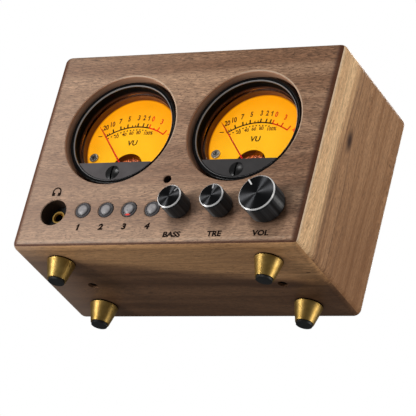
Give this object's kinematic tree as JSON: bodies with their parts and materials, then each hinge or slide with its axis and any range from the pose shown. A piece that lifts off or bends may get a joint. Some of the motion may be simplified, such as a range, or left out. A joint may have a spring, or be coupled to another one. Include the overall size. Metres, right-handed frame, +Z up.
{
  "type": "headphone preamplifier with analog vu meters",
  "caption": "Walnut desktop preamplifier with round amber VU meters, turning knobs, push buttons, a headphone socket and brass feet.",
  "frame": {"origin": "centre of the base rectangle of the whole part, on the plane its rubber pads stand on", "axes": "+X to the right seen from the front, +Y from the front face to the rear, +Z up"},
  "size_m": [0.16, 0.0966, 0.1225],
  "materials": {
    "walnut": "satin oiled walnut",
    "black_steel": "fine black powder coat",
    "satin_brass": "satin turned",
    "foot_rubber": "matt",
    "zinc_steel": "zinc plated",
    "black_screws": "black oxide",
    "meter_black": "satin moulded",
    "bezel_black": "semi-gloss moulded",
    "meter_glass": "clear",
    "mask_grey": "satin",
    "dial_amber": "printed amber plate, lit",
    "pointer_red": "red paint",
    "copper_wire": "wound enamelled wire",
    "lever_brass": "stamped",
    "core_iron": "ground",
    "lamp_board": "white board with warm lamps",
    "black_anodised": "spun face, black anodised",
    "pot_body": "moulded",
    "button_grey": "translucent grey",
    "switch_black": "moulded",
    "signal_red": "clear red lamp",
    "circuit_green": "solder mask",
    "gold_plate": "polished gold plate",
    "receiver_black": "dark infrared window",
    "capacitor_sleeve": "shrunk sleeve",
    "phono_white": "moulded insulator"
  },
  "bodies": {
    "cabinet": {"front_board": "walnut", "top_board": "walnut", "bottom_board": "walnut", "left_board": "walnut", "right_board": "walnut", "rear_chassis": "black_steel", "feet": "satin_brass", "foot_pads": "foot_rubber", "foot_screws": "zinc_steel", "left_case": "meter_black", "left_bezel": "bezel_black", "left_window": "meter_glass", "left_mask": "mask_grey", "left_dial": "dial_amber", "left_movement_frame": "zinc_steel", "left_magnet_core": "core_iron", "right_case": "meter_black", "right_bezel": "bezel_black", "right_window": "meter_glass", "right_mask": "mask_grey", "right_dial": "dial_amber", "right_movement_frame": "zinc_steel", "right_magnet_core": "core_iron", "dial_lamps": "lamp_board", "dial_screws": "zinc_steel", "meter_screws": "black_screws", "meter_terminals": "lever_brass", "potentiometers": "pot_body", "tact_switches": "switch_black", "button_lamps": "signal_red", "control_board": "circuit_green", "board_spacers": "zinc_steel", "board_screws": "zinc_steel", "bottom_screws": "black_screws", "headphone_jack": "switch_black", "jack_sleeve": "gold_plate", "remote_receiver": "receiver_black", "main_board": "circuit_green", "capacitors": "capacitor_sleeve", "phono_shells": "gold_plate", "phono_bodies": "phono_white", "power_inlet": "switch_black"},
    "bass_dial": {"bass_knob": "black_anodised", "bass_shaft": "zinc_steel"},
    "treble_dial": {"treble_knob": "black_anodised", "treble_shaft": "zinc_steel"},
    "volume_dial": {"volume_knob": "black_anodised", "volume_shaft": "zinc_steel"},
    "left_pointer": {"left_needle": "pointer_red", "left_coil": "copper_wire"},
    "right_pointer": {"right_needle": "pointer_red", "right_coil": "copper_wire"},
    "left_zero": {"left_zero_screw": "bezel_black"},
    "right_zero": {"right_zero_screw": "bezel_black"},
    "left_lever": {"left_zero_lever": "lever_brass"},
    "right_lever": {"right_zero_lever": "lever_brass"},
    "button_one": {"button_1": "button_grey"},
    "button_two": {"button_2": "button_grey"},
    "button_three": {"button_3": "button_grey"},
    "button_four": {"button_4": "button_grey"}
  },
  "joints": [
    {"name": "bass_turn", "type": "hinge", "parent": "cabinet", "child": "bass_dial", "pos_m": [0.0113, -0.03525, 0.0318], "axis": [0, 1, 0], "range_deg": [-190, 110]},
    {"name": "treble_turn", "type": "hinge", "parent": "cabinet", "child": "treble_dial", "pos_m": [0.0344, -0.03525, 0.0318], "axis": [0, 1, 0], "range_deg": [-150, 150]},
    {"name": "volume_turn", "type": "hinge", "parent": "cabinet", "child": "volume_dial", "pos_m": [0.0596, -0.03525, 0.0318], "axis": [0, 1, 0], "range_deg": [-110, 190]},
    {"name": "left_swing", "type": "hinge", "parent": "cabinet", "child": "left_pointer", "pos_m": [-0.0348, -0.02225, 0.061], "axis": [0, 1, 0], "range_deg": [0, 80], "stiffness_Nm_per_rad": 0.00002, "springref_deg": -14.32},
    {"name": "left_zero_turn", "type": "hinge", "parent": "cabinet", "child": "left_zero", "pos_m": [-0.0348, -0.03025, 0.0547], "axis": [0, 1, 0], "range_deg": [-25, 25]},
    {"name": "left_lever_turn", "type": "hinge", "parent": "cabinet", "child": "left_lever", "pos_m": [-0.0348, -0.02425, 0.061], "axis": [0, 1, 0], "range_deg": [-7, 7]},
    {"name": "right_swing", "type": "hinge", "parent": "cabinet", "child": "right_pointer", "pos_m": [0.0348, -0.02225, 0.061], "axis": [0, 1, 0], "range_deg": [0, 80], "stiffness_Nm_per_rad": 0.00002, "springref_deg": -14.32},
    {"name": "right_zero_turn", "type": "hinge", "parent": "cabinet", "child": "right_zero", "pos_m": [0.0348, -0.03025, 0.0547], "axis": [0, 1, 0], "range_deg": [-25, 25]},
    {"name": "right_lever_turn", "type": "hinge", "parent": "cabinet", "child": "right_lever", "pos_m": [0.0348, -0.02425, 0.061], "axis": [0, 1, 0], "range_deg": [-7, 7]},
    {"name": "press_one", "type": "slide", "parent": "cabinet", "child": "button_one", "axis": [0, 1, 0], "range_m": [0, 0.0005], "stiffness_N_per_m": 600, "springref_m": -0.0005},
    {"name": "press_two", "type": "slide", "parent": "cabinet", "child": "button_two", "axis": [0, 1, 0], "range_m": [0, 0.0005], "stiffness_N_per_m": 600, "springref_m": -0.0005},
    {"name": "press_three", "type": "slide", "parent": "cabinet", "child": "button_three", "axis": [0, 1, 0], "range_m": [0, 0.0005], "stiffness_N_per_m": 600, "springref_m": -0.0005},
    {"name": "press_four", "type": "slide", "parent": "cabinet", "child": "button_four", "axis": [0, 1, 0], "range_m": [0, 0.0005], "stiffness_N_per_m": 600, "springref_m": -0.0005}
  ],
  "couplings": [
    {"joint": "left_lever_turn", "follows": "left_zero_turn", "ratio": -0.26},
    {"joint": "right_lever_turn", "follows": "right_zero_turn", "ratio": -0.26}
  ]
}
